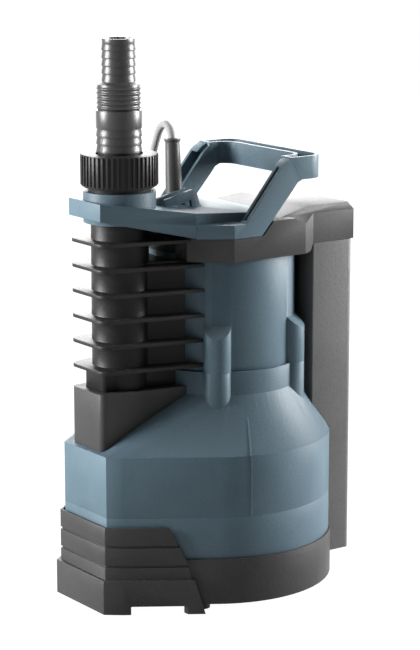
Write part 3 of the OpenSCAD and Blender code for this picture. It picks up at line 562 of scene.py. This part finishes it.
def blend_colour(
    tree: bpy.types.NodeTree,
    share: bpy.types.NodeSocket,
    first: bpy.types.NodeSocket | Colour,
    second: bpy.types.NodeSocket | Colour,
) -> bpy.types.NodeSocket:
    """Mixes two colours by a share.

    Args:
        tree: Node tree that gets the node.
        share: Share of the second colour.
        first: First colour, a socket or a value.
        second: Second colour, a socket or a value.

    Returns:
        The mixed colour's socket.
    """
    node = tree.nodes.new("ShaderNodeMix")
    node.data_type = "RGBA"
    tree.links.new(share, node.inputs[0])
    for slot, value in ((6, first), (7, second)):
        if isinstance(value, bpy.types.NodeSocket):
            tree.links.new(value, node.inputs[slot])
        else:
            node.inputs[slot].default_value = (*value, 1.0)
    return node.outputs[2]


@dataclass(frozen=True)
class Finish:
    """A surface finish with a fine grain, clouds, lighter edges and dust. The lighter edges are
    partly rubbed wear and partly a painted highlight.

    Attributes:
        name: Name of the material.
        colour: Main colour, linear.
        cloud_colour: Colour of its cloudy variation.
        edge_colour: Colour of the lighter edges, which are partly rubbed wear and partly a painted
            highlight; the grain's speckle uses it too.
        roughness: Middle roughness.
        metallic: 0 for plastic, 1 for bare metal.
        specular: Strength of the reflection of a plastic.
        grain_scale: Grains per metre.
        grain_depth: Depth of the grain in metres.
        coarseness: Share of round pits in the grain.
        cloud_scale: Clouds per metre.
        edge_wear_and_highlight_share: Strength of the lighter edges, which are partly rubbed wear
            and partly a painted highlight.
        dust_share: Strength of the dust.
        speckle_share: Strength of the grain's speckle in the colour.
        dust_colour: Colour of the dust.
        rough_swing: How much the clouds and the speckle add to the roughness, and how far the
            roughness starts under its middle value.
        bump_strength: Share of the grain's depth that shows.
    """

    name: str
    colour: Colour
    cloud_colour: Colour
    edge_colour: Colour
    roughness: float = 0.45
    metallic: float = 0.0
    specular: float = 0.14
    grain_scale: float = 1150.0
    grain_depth: float = 0.0002
    coarseness: float = 0.35
    cloud_scale: float = 11.0
    edge_wear_and_highlight_share: float = 0.4
    dust_share: float = 0.08
    speckle_share: float = 0.3
    dust_colour: Colour = (0.5, 0.5, 0.48)
    rough_swing: tuple[float, float, float] = (0.1, 0.05, 0.07)
    bump_strength: float = 0.6

    def material(self) -> bpy.types.Material:
        """Returns the material, which is built on its first use."""
        known = bpy.data.materials.get(self.name)
        if known:
            return known
        material = bpy.data.materials.new(self.name)
        material.use_nodes = True
        tree = material.node_tree
        shader = tree.nodes["Principled BSDF"]
        grain = place_group(
            tree, grain_group(), Scale=self.grain_scale, Coarseness=self.coarseness
        )
        marks = place_group(tree, marks_and_edge_highlight_group(), Scale=self.cloud_scale)
        tree.links.new(self._colour(tree, grain, marks), shader.inputs["Base Color"])
        cloudy, speckled, drop = self.rough_swing
        wide = math_node(tree, "MULTIPLY_ADD", marks["Cloud"], cloudy, self.roughness - drop)
        fine = math_node(tree, "MULTIPLY", grain["Speckle"], speckled)
        tree.links.new(
            math_node(tree, "ADD", wide, fine, clamp=True), shader.inputs["Roughness"]
        )
        shader.inputs["Metallic"].default_value = self.metallic
        shader.inputs["Specular IOR Level"].default_value = self.specular
        bump = tree.nodes.new("ShaderNodeBump")
        bump.inputs["Strength"].default_value = self.bump_strength
        bump.inputs["Distance"].default_value = self.grain_depth
        tree.links.new(self._height(tree, grain), bump.inputs["Height"])
        tree.links.new(bump.outputs["Normal"], shader.inputs["Normal"])
        return material

    def _colour(
        self,
        tree: bpy.types.NodeTree,
        grain: bpy.types.NodeOutputs,
        marks: bpy.types.NodeOutputs,
    ) -> bpy.types.NodeSocket:
        """Mixes the surface colour.

        Args:
            tree: The material's node tree.
            grain: The grain group's outputs.
            marks: The handling group's outputs.

        Returns:
            The colour socket.
        """
        mixed = blend_colour(tree, marks["Cloud"], self.colour, self.cloud_colour)
        # The edge mask lightens edges towards edge_colour: partly rubbed wear, partly a painted
        # highlight.
        for mask, strength, colour in (
            (grain["Speckle"], self.speckle_share, self.edge_colour),
            (marks["Edge"], self.edge_wear_and_highlight_share, self.edge_colour),
            (marks["Dust"], self.dust_share, self.dust_colour),
        ):
            share = math_node(tree, "MULTIPLY", mask, strength)
            mixed = blend_colour(tree, share, mixed, colour)
        return mixed

    def _height(
        self, tree: bpy.types.NodeTree, grain: bpy.types.NodeOutputs
    ) -> bpy.types.NodeSocket:
        """Finds the height that the bump reads.

        Args:
            tree: The material's node tree.
            grain: The grain group's outputs.

        Returns:
            The height socket.
        """
        return grain["Height"]


@dataclass(frozen=True)
class TurnedMetal(Finish):
    """Turned or brushed metal with fine rings about the vertical axis.

    Attributes:
        line_scale: Rings per metre.
        line_stretch: Scale of the rings' noise along each axis.
    """

    line_scale: float = 900.0
    line_stretch: Point = (0.04, 0.04, 1.0)

    def _height(
        self, tree: bpy.types.NodeTree, grain: bpy.types.NodeOutputs
    ) -> bpy.types.NodeSocket:
        """Adds turning lines to the grain.

        Args:
            tree: The material's node tree.
            grain: The grain group's outputs.

        Returns:
            The height socket.
        """
        place = tree.nodes.new("ShaderNodeTexCoord").outputs["Object"]
        stretch = tree.nodes.new("ShaderNodeMapping")
        stretch.inputs["Scale"].default_value = self.line_stretch
        tree.links.new(place, stretch.inputs["Vector"])
        lines = noise(tree, stretch.outputs[0], self.line_scale, 2.0)
        return math_node(tree, "ADD", grain["Height"], lines)


def tint(value: float, warm: float = 0.0) -> Colour:
    """Mixes a grey that is neutral or a little warm.

    Args:
        value: Its linear brightness.
        warm: Share that red gains and blue loses.

    Returns:
        The colour.
    """
    return (value * (1 + warm), value, value * (1 - warm))


BLUE = Finish(
    "moulded_blue", (0.038, 0.062, 0.080), (0.043, 0.067, 0.085), (0.09, 0.14, 0.17), 0.42
)
BLACK = Finish("moulded_black", tint(0.014), tint(0.018, 0.02), tint(0.05), 0.42)
BOX_GREY = Finish("moulded_grey", tint(0.064), tint(0.072, 0.01), tint(0.14), 0.47)
GLOSSY_BLACK = Finish(
    "fitting_black", tint(0.013), tint(0.017), tint(0.05), 0.33, specular=0.3, grain_scale=2200.0,
    grain_depth=0.00005,
)
# Darker copy of the black moulding: painted shade on the recessed finned riser and on the union
# nut.
SHADED_BLACK = Finish("black_painted_shade", tint(0.005), tint(0.007), tint(0.03), 0.38, specular=0.12)
CABLE = Finish(
    "cable_sheath", tint(0.17), tint(0.20), tint(0.24), 0.5, specular=0.06, grain_scale=2600.0,
    grain_depth=0.00006, edge_wear_and_highlight_share=0.1,
)
SLEEVE = Finish(
    "tapered_sleeve", tint(0.035), tint(0.042), tint(0.09), 0.34, grain_scale=2200.0,
    grain_depth=0.00008,
)
RUBBER = Finish("seal_elastomer", tint(0.016), tint(0.022), tint(0.04), 0.6, grain_scale=1800.0)
PLUG = Finish("plug_rubber", tint(0.02), tint(0.026), tint(0.06), 0.5, grain_scale=1700.0)
PALE = Finish("cream_plastic", (0.62, 0.58, 0.48), (0.66, 0.62, 0.52), (0.7, 0.68, 0.6), 0.4)
FOAM = Finish(
    "closed_cell_foam", (0.62, 0.17, 0.02), (0.68, 0.21, 0.03), (0.75, 0.32, 0.1), 0.7,
    grain_scale=700.0, grain_depth=0.0003, coarseness=0.9,
)
STEEL = TurnedMetal(
    "turned_steel", tint(0.55), tint(0.6), tint(0.7), 0.3, 1.0, grain_depth=0.00003,
    dust_share=0.0,
)
# Steel made dark so that the handle screws show no bright glint.
DARK_STEEL = TurnedMetal(
    "darkened_steel", tint(0.05), tint(0.065), tint(0.14), 0.5, 1.0, grain_depth=0.00003,
    dust_share=0.0,
)
CAST = TurnedMetal(
    "cast_light_metal", tint(0.5), tint(0.55), tint(0.62), 0.5, 1.0, grain_scale=900.0,
    dust_share=0.0,
)
LAMINATE = TurnedMetal(
    "stacked_laminate", tint(0.2), tint(0.24), tint(0.32), 0.45, 1.0, line_scale=2600.0,
    dust_share=0.0,
)
COPPER = TurnedMetal(
    "lacquered_copper", (0.5, 0.2, 0.08), (0.56, 0.24, 0.1), (0.7, 0.36, 0.2), 0.35, 1.0,
    line_scale=1400.0, dust_share=0.0,
)
CERAMIC = Finish("seal_ceramic", tint(0.05), tint(0.06), tint(0.1), 0.25, grain_depth=0.00002)
BY_SLOT = {
    "body_blue": BLUE,
    "body_black": BLACK,
    "box_grey": BOX_GREY,
    "steel": STEEL,
    "cast": CAST,
    "laminate": LAMINATE,
    "copper_wire": COPPER,
    "seal_rubber": RUBBER,
    "float_foam": FOAM,
    "pale_plastic": PALE,
    "ceramic": CERAMIC,
    "cable_grey": CABLE,
    "sleeve_grey": SLEEVE,
    "plug_black": PLUG,
}


# Cable, coil and plug


class Stage(NamedTuple):
    """A stretch of winding.

    Attributes:
        count: Number of turns.
        start: Radius at its beginning in millimetres.
        end: Radius at its end in millimetres.
        rise: How far it climbs, in millimetres.
    """

    count: float
    start: float
    end: float
    rise: float


@dataclass
class MainsCable:
    """The cable with its sleeve, its coil behind the pump and its plug.

    Attributes:
        diameter: Cable diameter in metres.
        route: Centreline from the sleeve to the coil, in millimetres.
        lead: Centreline from the coil to the plug, in millimetres.
        coil_centre: The coil's axis in millimetres.
        coil_radii: Innermost and outermost turn in millimetres.
        coil_pairs: How often it is wound in and out again.
        coil_bearing: Where the first turn begins, in degrees.
        last_turn: Share of a turn round to the lead.
        layer_rise: Height of one layer in millimetres.
        lane_shift: How far the way out lies beside the way in, in millimetres.
        knots: Points for each turn.
        slack: Length of the curved cable over the length of its chords; not used.
        sleeve_base: Foot of the strain relief in metres.
        sleeve_lean: How far it leans, in degrees.
        lean_axis: The axis that it leans about.
        plug_base: Where the lead enters the plug, in metres.
        plug_bearing: Direction of the plug in degrees.
        pin_shift: Distance of a plug pin from the plug's axis, and from the lead, in metres.
    """

    diameter: float = 0.006
    route: tuple[Point, ...] = (
        (-12.5, 18, 350.8), (-11.5, 21, 356), (-10.5, 25.5, 359.5), (-9.5, 31, 361),
        (-8.5, 37, 359.5), (-7.5, 43, 354.5), (-6, 49, 347), (-4.5, 56, 336), (-3.5, 63, 321),
        (-3, 69, 303), (-3, 72, 280), (-3, 74, 255), (-3, 76, 230), (-2, 79, 205),
        (-1, 83, 180), (1, 88, 155), (3, 93, 130), (5, 97, 105), (7, 100, 80), (9, 102, 55),
        (11, 104, 33), (14, 107.5, 16), (18.5, 113.5, 6.5), (24, 122, 3.4), (30, 134, 3),
        (37, 149, 3), (44, 165, 3),
    )
    lead: tuple[Point, ...] = (
        (171.6, 119.7, 26.8), (168.2, 110.3, 24), (164.7, 100.9, 21), (161, 90.7, 19),
    )
    coil_centre: tuple[float, float] = (112.0, 152.0)
    coil_radii: tuple[float, float] = (40.0, 67.0)
    coil_pairs: int = 3
    coil_bearing: float = 154.4
    last_turn: float = 0.484
    layer_rise: float = 5.2
    lane_shift: float = 3.0
    knots: int = 16
    slack: float = 1.003
    sleeve_base: Point = (-0.0135, 0.0135, 0.3020)
    sleeve_lean: float = 5.0
    lean_axis: Point = (-0.977, 0.215, 0.0)
    plug_base: Point = (0.161, 0.0907, 0.019)
    plug_bearing: float = -20.0
    pin_shift: tuple[float, float] = (0.0095, 0.04)

    def turns(self) -> list[Point]:
        """Winds the coil clockwise: in and out again for each pair, then round to the lead.

        Returns:
            The coil's points in millimetres.
        """
        points: list[Point] = []
        angle, height = self.coil_bearing, 1000 * self.diameter / 2
        for count, start, end, rise in self._stages():
            steps = max(4, round(self.knots * count))
            for k in range(steps):
                share = k / steps
                climb = rise * (3 * share**2 - 2 * share**3)
                radius = start + (end - start) * share
                points.append(
                    self._coil_point(angle - 360.0 * count * share, radius, height + climb)
                )
            angle -= 360.0 * count
            height += rise
        points.append(self._coil_point(angle, self.coil_radii[1], height))
        return points

    def _stages(self) -> list[Stage]:
        """Lists the stretches of the winding from the first turn to the lead.

        Returns:
            The stretches.
        """
        inner, outer = self.coil_radii
        shift, rise = self.lane_shift, self.layer_rise
        stages: list[Stage] = []
        for pair in range(self.coil_pairs):
            last = pair == self.coil_pairs - 1
            stages += [
                Stage(4.5, outer, inner, 0.0),
                Stage(0.5, inner, inner + shift, rise),
                Stage(3.5, inner + shift, outer - shift, 0.0),
                Stage(0.5, outer - shift, outer, 0.0 if last else rise),
            ]
        stages.append(Stage(self.last_turn, outer, outer, 0.0))
        return stages

    def _coil_point(self, angle: float, radius: float, height: float) -> Point:
        """Places a point of the coil.

        Args:
            angle: Its bearing from the coil's axis in degrees.
            radius: Its distance from the axis in millimetres.
            height: Its height over the floor in millimetres.

        Returns:
            The point in millimetres.
        """
        turn = math.radians(angle)
        return (
            self.coil_centre[0] + radius * math.cos(turn),
            self.coil_centre[1] + radius * math.sin(turn),
            height,
        )

    def build(self) -> None:
        sleeve = self._sleeve()
        plug, pins = self._plug(), self._pins()
        ties = merged_copy("coil_ties", "coil_straps")
        soften(ties, 0.0004)
        hand_in(ties, "housing", "plug_black", PLUG, "coil_ties")
        points = [*self.route, *self.turns(), *self.lead]
        curve = bpy.data.curves.new("mains_cable", "CURVE")
        curve.dimensions = "3D"
        curve.bevel_depth = self.diameter / 2
        curve.bevel_resolution = 3
        curve.resolution_u = 3
        curve.use_fill_caps = True
        spline = curve.splines.new("BEZIER")
        spline.bezier_points.add(len(points) - 1)
        for knot, place in zip(spline.bezier_points, points):
            knot.co = [v / 1000 for v in place]
            knot.handle_left_type = knot.handle_right_type = "AUTO"
        cable = bpy.data.objects.new("mains_cable", curve)
        bpy.context.collection.objects.link(cable)
        hand_in(cable, "housing", "cable_grey", CABLE, "power_cable", "cable_coil", "plug_lead")

    def _sleeve(self) -> bpy.types.Object:
        """Builds the tapered strain relief, which leans towards the far side.

        Returns:
            The sleeve.
        """
        outline = [
            (0.0032, -0.001), (0.0088, -0.001), (0.0092, -0.0005), (0.0092, 0.0008),
            (0.0086, 0.0014), (0.0070, 0.0016), (0.0066, 0.0024), (0.0065, 0.01),
            (0.0063, 0.02), (0.0060, 0.03), (0.0057, 0.04), (0.0055, 0.0462),
            (0.0056, 0.0474), (0.0062, 0.0480), (0.0064, 0.0486), (0.0064, 0.0494),
            (0.0061, 0.0499), (0.0034, 0.0500),
        ]
        sleeve = lathe("strain_sleeve", outline, 48)
        lean = Matrix.Rotation(math.radians(self.sleeve_lean), 4, Vector(self.lean_axis))
        sleeve.data.transform(Matrix.Translation(self.sleeve_base) @ lean)
        soften(sleeve, 0.0002, 2, 40.0)
        return hand_in(sleeve, "housing", "sleeve_grey", SLEEVE, "strain_relief")

    def _plug(self) -> bpy.types.Object:
        """Builds the round plug body with grip rings.

        Returns:
            The plug body.
        """
        outline = [
            (0.0, 0.0), (0.0052, 0.0), (0.0060, 0.0008), (0.0062, 0.004), (0.0070, 0.0045),
            (0.0066, 0.0065), (0.0074, 0.0070), (0.0070, 0.0095), (0.0078, 0.0100),
            (0.0076, 0.0136), (0.0110, 0.0142), (0.0150, 0.0175), (0.0178, 0.0215),
            (0.0188, 0.0250), (0.0180, 0.0262), (0.0180, 0.0280), (0.0188, 0.0290),
            (0.0189, 0.0380), (0.0180, 0.0400), (0.0, 0.0400),
        ]
        plug = lathe("plug_shell", outline, 64)
        plug.data.transform(self._plug_place())
        soften(plug, 0.0004, 2, 35.0)
        return hand_in(plug, "housing", "plug_black", PLUG, "plug_body")

    def _pins(self) -> bpy.types.Object:
        """Builds the two plug pins with sleeved roots and round tips.

        Returns:
            The pins as one piece.
        """
        outline = [
            (0.0, 0.0), (0.0024, 0.0), (0.0024, 0.0170), (0.0019, 0.0185), (0.0, 0.0190),
        ]
        side, along = self.pin_shift
        pins = lathe("plug_contacts", outline, 32)
        twin = bpy.data.objects.new("plug_contact_twin", pins.data.copy())
        bpy.context.collection.objects.link(twin)
        for pin, shift in ((pins, -side), (twin, side)):
            pin.data.transform(self._plug_place() @ Matrix.Translation((shift, 0.0, along)))
        activate(pins)
        twin.select_set(True)
        bpy.ops.object.join()
        soften(pins, 0.0003, 2, 35.0)
        return hand_in(pins, "housing", "steel", STEEL, "plug_pins")

    def _plug_place(self) -> Matrix:
        """Finds the turn and shift from upright at the origin to the plug's place.

        Returns:
            The matrix.
        """
        bearing = Matrix.Rotation(math.radians(self.plug_bearing), 4, "Z")
        lying = Matrix.Rotation(math.radians(90.0), 4, "X")
        return Matrix.Translation(self.plug_base) @ (bearing @ lying)


# Housings and fittings


@dataclass
class Moulding:
    """A moulded part that keeps its CAD shape and gets rounded edges.

    Attributes:
        node: The CAD node.
        name: Name of the new piece.
        slot: Material slot.
        body: The CAD body that carries it.
        width: Width of the edge rounding in metres.
        segments: Faces across the rounding.
        finish: Finish, or None for the one of the slot.
    """

    node: str
    name: str
    slot: str
    body: str = "housing"
    width: float = 0.0008
    segments: int = 2
    finish: Finish | None = None

    def build(self) -> bpy.types.Object:
        """Copies the node, rounds it, dresses it, sets it on its body and hides the node.

        Returns:
            The finished piece.
        """
        piece = merged_copy(self.node, self.name)
        soften(piece, self.width, self.segments)
        finish = self.finish or BY_SLOT[self.slot]
        return hand_in(piece, self.body, self.slot, finish, self.node)


MOULDINGS = (
    Moulding("strainer_base", "base_skirt", "body_black"),
    Moulding("nose_bumper", "bumper_shell", "body_black", width=0.0007),
    Moulding("volute_body", "volute_shell", "body_blue", width=0.0004),
    Moulding("lower_casing", "casing_shell", "body_blue", width=0.001),
    Moulding("motor_casing", "motor_shell", "body_blue"),
    Moulding("riser_cover", "riser_shroud", "body_black"),
    # The finned riser and the union nut get the darker black, which is painted shade.
    Moulding("riser_duct", "finned_riser", "body_black", finish=SHADED_BLACK),
    Moulding("union_nut", "ribbed_nut", "body_black", "nut", width=0.0003, finish=SHADED_BLACK),
    Moulding("hose_adapter", "stepped_adapter", "body_black", width=0.0003, finish=GLOSSY_BLACK),
    Moulding("handle", "handle_shell", "body_blue", width=0.0012, segments=3),
    Moulding("handle_screws", "handle_bolts", "steel", width=0.0005, finish=DARK_STEEL),
    Moulding("top_cover", "cover_shell", "body_black", width=0.0015, segments=3),
    Moulding("float_box", "float_housing", "box_grey", width=0.0015, segments=3),
    Moulding("base_screws", "base_bolts", "steel", width=0.0004),
)


@dataclass
class FlankRibs:
    """Slim raised ribs that run down the flanks of the lower casing and fade out on its shoulder.

    Attributes:
        bearing: Direction of a rib from the casing's round centre, in degrees from +X.
        centre_x: The round centre, in metres.
        wall_radius: Radius of the casing wall there.
        ring_radius: Radius at which the shoulder meets the flange ring.
        ring_shift: How far the ring centre lies from the round centre, towards +X.
        heights: Foot of the rib, foot of the shoulder, end of the rib and top of the shoulder.
        width: Width of the rib.
        proud: Height of the rib over the wall.
        sunk: Depth of the rib in the wall.
        fade: Share of its height that the rib loses at its end.
        rounding: Width of its edge rounding.
    """

    bearing: float = 107.0
    centre_x: float = 0.0135
    wall_radius: float = 0.092
    ring_radius: float = 0.0616
    ring_shift: float = 0.006
    heights: tuple[float, float, float, float] = (0.0752, 0.122, 0.146, 0.1615)
    width: float = 0.0013
    proud: float = 0.0006
    sunk: float = 0.001
    fade: float = 0.8
    rounding: float = 0.00035

    def build(self) -> bpy.types.Object:
        """Builds a rib on either flank as one piece.

        Returns:
            The ribs.
        """
        near = self._rib("flank_ribs", -self.bearing)
        far = self._rib("flank_rib_far", self.bearing)
        activate(near)
        far.select_set(True)
        bpy.ops.object.join()
        soften(near, self.rounding, 2, 30.0)
        return hand_in(near, "housing", "body_blue", BLUE)

    def _rib(self, name: str, bearing: float) -> bpy.types.Object:
        """Extrudes one rib from the foot of the wall up the shoulder.

        Args:
            name: Name of the new piece.
            bearing: Its direction in degrees.

        Returns:
            The rib.
        """
        foot, bend, tip, top = self.heights
        clear_selection()
        bpy.ops.mesh.primitive_cube_add(size=1.0, location=(0.0, 0.0, 0.0))
        rib = bpy.context.object
        rib.name = name
        depth = self.proud + self.sunk
        middle = (self.wall_radius + self.proud - depth / 2, 0.0, (foot + bend) / 2)
        rib.data.transform(
            Matrix.Translation(middle) @ Matrix.Diagonal((depth, self.width, bend - foot, 1.0))
        )
        share = (tip - bend) / (top - bend)
        inward = (self.wall_radius - self.ring_radius) * share
        turn = Matrix.Rotation(math.radians(bearing), 4, "Z")
        slide = turn.inverted() @ Vector((self.ring_shift * share, 0.0, 0.0))
        back = slide.x - inward - self.proud * self.fade
        pick_faces(rib, lambda _, normal: normal.z > 0.9)
        bpy.ops.mesh.extrude_region_move(
            TRANSFORM_OT_translate={"value": (back, slide.y, tip - bend)}
        )
        bpy.ops.object.mode_set(mode="OBJECT")
        rib.data.transform(Matrix.Translation((self.centre_x, 0.0, 0.0)) @ turn)
        return rib


def dress_frame() -> None:
    """Gives every CAD node the procedural finish of its material slot."""
    for part in frame["record"]["subparts"]:
        node = frame["nodes"][part["node"]]
        node.data.materials.clear()
        node.data.materials.append(BY_SLOT[part["material_slot"]].material())


def main() -> None:
    """Builds camera, studio, cable and every visible piece."""
    logging.basicConfig(level=logging.INFO, format="%(message)s")
    bpy.context.scene.view_settings.view_transform = "Standard"
    PhotoCamera().build()
    Studio().build()
    dress_frame()
    MainsCable().build()
    for moulding in MOULDINGS:
        moulding.build()
    FlankRibs().build()


if __name__ == "__main__":
    main()
